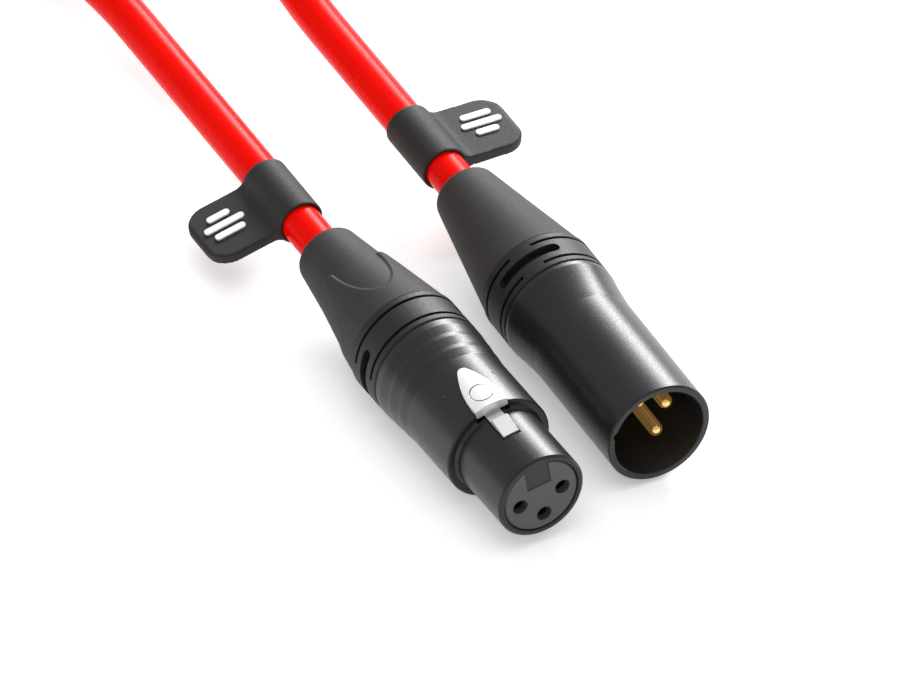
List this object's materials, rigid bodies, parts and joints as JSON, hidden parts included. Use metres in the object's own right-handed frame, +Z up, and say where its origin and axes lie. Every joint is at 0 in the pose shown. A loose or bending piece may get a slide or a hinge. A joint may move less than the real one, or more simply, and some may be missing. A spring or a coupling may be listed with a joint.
{
  "type": "xlr cable",
  "caption": "Red microphone cable with a female and a male three-pin connector, a tag sleeve at each end, and its spare length tied in a hank.",
  "frame": {"origin": "on the table, under the middle of the two connectors", "axes": "+Z up, -Y the way both connectors point, +X from the female connector to the male one"},
  "size_m": [0.063, 0.327, 0.037],
  "materials": {
    "black_metal": "satin black zinc",
    "grey_plastic": "matt",
    "black_plastic": "matt",
    "collar_plastic": "satin",
    "boot_rubber": "matt",
    "tag_rubber": "matt silicone",
    "mark_white": "matt",
    "gold": "gold plated",
    "bright_metal": "satin nickel",
    "steel": "plain",
    "core_insulation": "plain",
    "red_jacket": "glossy red jacket",
    "tie_fabric": "hook and loop"
  },
  "bodies": {
    "cable": {"female_shell": "black_metal", "female_insert": "grey_plastic", "female_contact_1": "gold", "female_contact_2": "gold", "female_contact_3": "gold", "female_latch_pin": "steel", "female_latch_spring": "steel", "female_chuck": "black_plastic", "female_bushing": "collar_plastic", "female_boot": "boot_rubber", "female_wires": "core_insulation", "female_cable_end": "red_jacket", "male_shell": "black_metal", "male_insert": "black_plastic", "male_pin_1": "gold", "male_pin_2": "gold", "male_pin_3": "gold", "male_chuck": "black_plastic", "male_bushing": "collar_plastic", "male_boot": "boot_rubber", "male_wires": "core_insulation", "male_cable_end": "red_jacket", "cable_female_run": "red_jacket", "cable_hank": "red_jacket", "cable_male_run": "red_jacket", "hank_tie": "tie_fabric"},
    "latch": {"female_latch": "bright_metal"},
    "female_tag_body": {"female_tag": "tag_rubber", "female_tag_mark": "mark_white"},
    "male_tag_body": {"male_tag": "tag_rubber", "male_tag_mark": "mark_white"}
  },
  "joints": [
    {"name": "latch_press", "type": "hinge", "parent": "cable", "child": "latch", "pos_m": [-0.01373, -0.01542, 0.01782], "axis": [0.989, 0.025, 0.1461], "range_deg": [0, 5.3], "stiffness_Nm_per_rad": 0.12, "springref_deg": -2.86, "deforming": ["female_latch_spring"]},
    {"name": "female_tag_turn", "type": "hinge", "parent": "cable", "child": "female_tag_body", "pos_m": [-0.01386, 0.0497, 0.01015], "axis": [0, 1, 0], "range_deg": [-19, 143]},
    {"name": "male_tag_turn", "type": "hinge", "parent": "cable", "child": "male_tag_body", "pos_m": [0.01364, 0.05105, 0.01015], "axis": [0, -1, 0], "range_deg": [-28, 134]}
  ]
}
